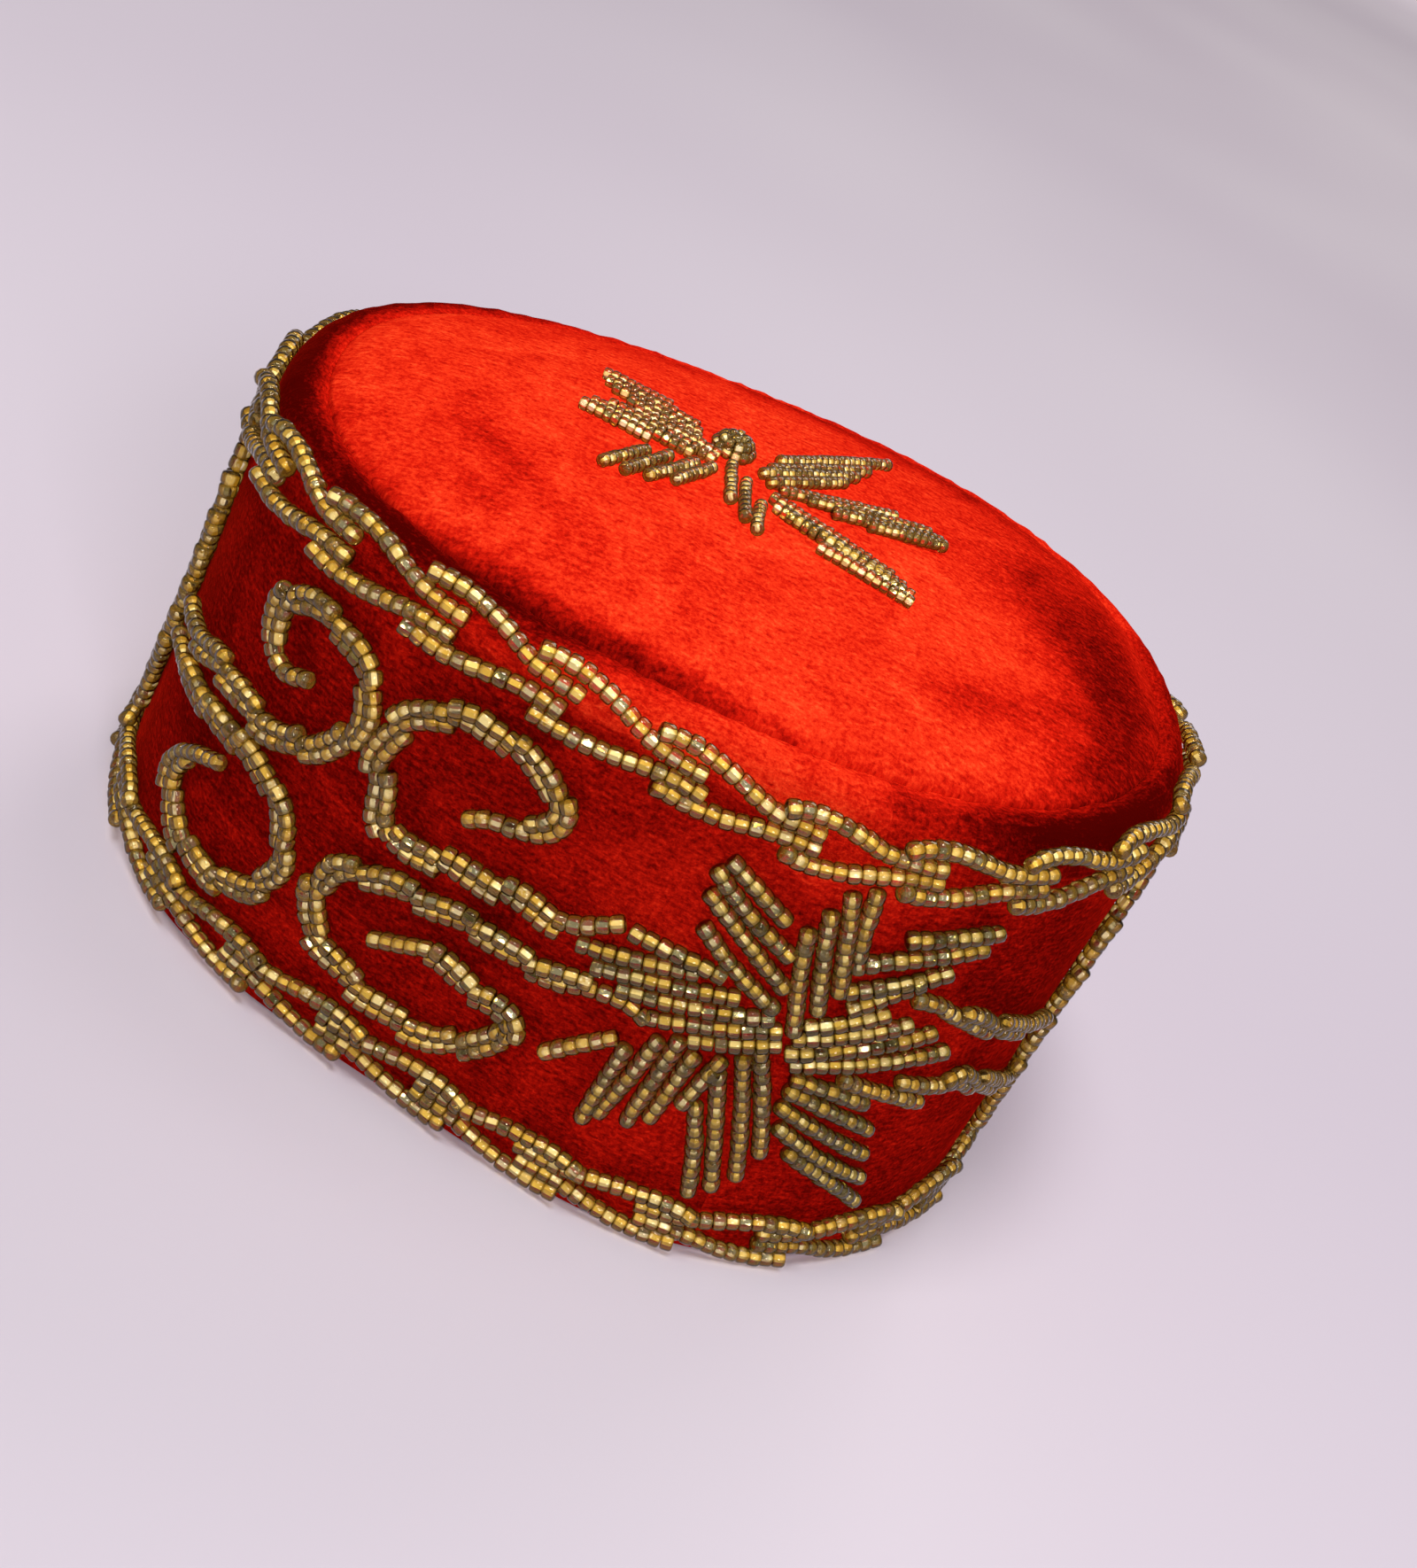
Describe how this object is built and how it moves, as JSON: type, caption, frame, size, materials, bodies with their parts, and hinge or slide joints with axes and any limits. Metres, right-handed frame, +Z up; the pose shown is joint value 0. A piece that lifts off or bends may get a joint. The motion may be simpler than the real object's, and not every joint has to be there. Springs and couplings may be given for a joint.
{
  "type": "beaded velvet cap",
  "caption": "Oval brimless velvet cap with a tall stiff side band and a low domed top, edged with bead ropes and sewn with bead scrolls, flowers and a crown sprig.",
  "frame": {"origin": "on the hem's plane, under the middle of the bounding box", "axes": "+Z up from the hem to the top, +X along the oval, -Y towards the front flower"},
  "size_m": [0.215, 0.1752, 0.1217],
  "materials": {
    "red_velvet": "short pile velvet on stiffened cloth",
    "red_velvet_top": "short pile velvet on stiffened cloth",
    "gold_lined_beads_rope": "clear honey glass beads with a gold lining, sewn in ropes",
    "gold_lined_beads_scroll": "clear honey glass beads with a gold lining, sewn in scrolls",
    "gold_lined_beads_leaf": "clear smoky glass beads with a gold lining, sewn in leaves",
    "gold_lined_beads_sprig": "small clear glass beads with a gold lining"
  },
  "bodies": {
    "root": {"side_band": "red_velvet", "crown_top": "red_velvet_top", "upper_rope": "gold_lined_beads_rope", "lower_rope": "gold_lined_beads_rope", "front_scroll_1": "gold_lined_beads_scroll", "front_scroll_2": "gold_lined_beads_scroll", "front_scroll_3": "gold_lined_beads_scroll", "front_scroll_4": "gold_lined_beads_scroll", "front_left_vine": "gold_lined_beads_scroll", "front_right_vine": "gold_lined_beads_scroll", "front_stem_1": "gold_lined_beads_scroll", "front_stem_2": "gold_lined_beads_scroll", "front_small_leaf_left": "gold_lined_beads_scroll", "front_small_leaf_right": "gold_lined_beads_scroll", "front_leaf_up_left": "gold_lined_beads_leaf", "front_leaf_up": "gold_lined_beads_leaf", "front_leaf_right_high": "gold_lined_beads_leaf", "front_leaf_right_low": "gold_lined_beads_leaf", "front_leaf_low_right": "gold_lined_beads_leaf", "front_leaf_down": "gold_lined_beads_leaf", "front_leaf_down_left": "gold_lined_beads_leaf", "front_leaf_left": "gold_lined_beads_leaf", "back_scroll_1": "gold_lined_beads_scroll", "back_scroll_2": "gold_lined_beads_scroll", "back_scroll_3": "gold_lined_beads_scroll", "back_scroll_4": "gold_lined_beads_scroll", "back_left_vine": "gold_lined_beads_scroll", "back_right_vine": "gold_lined_beads_scroll", "back_stem_1": "gold_lined_beads_scroll", "back_stem_2": "gold_lined_beads_scroll", "back_small_leaf_left": "gold_lined_beads_scroll", "back_small_leaf_right": "gold_lined_beads_scroll", "back_leaf_up_left": "gold_lined_beads_leaf", "back_leaf_up": "gold_lined_beads_leaf", "back_leaf_right_high": "gold_lined_beads_leaf", "back_leaf_right_low": "gold_lined_beads_leaf", "back_leaf_low_right": "gold_lined_beads_leaf", "back_leaf_down": "gold_lined_beads_leaf", "back_leaf_down_left": "gold_lined_beads_leaf", "back_leaf_left": "gold_lined_beads_leaf", "sprig_left_high": "gold_lined_beads_sprig", "sprig_left_mid": "gold_lined_beads_sprig", "sprig_left_low": "gold_lined_beads_sprig", "sprig_stem": "gold_lined_beads_sprig", "sprig_right_far": "gold_lined_beads_sprig", "sprig_right_mid": "gold_lined_beads_sprig", "sprig_right_near": "gold_lined_beads_sprig", "sprig_knob": "gold_lined_beads_sprig"}
  },
  "joints": []
}
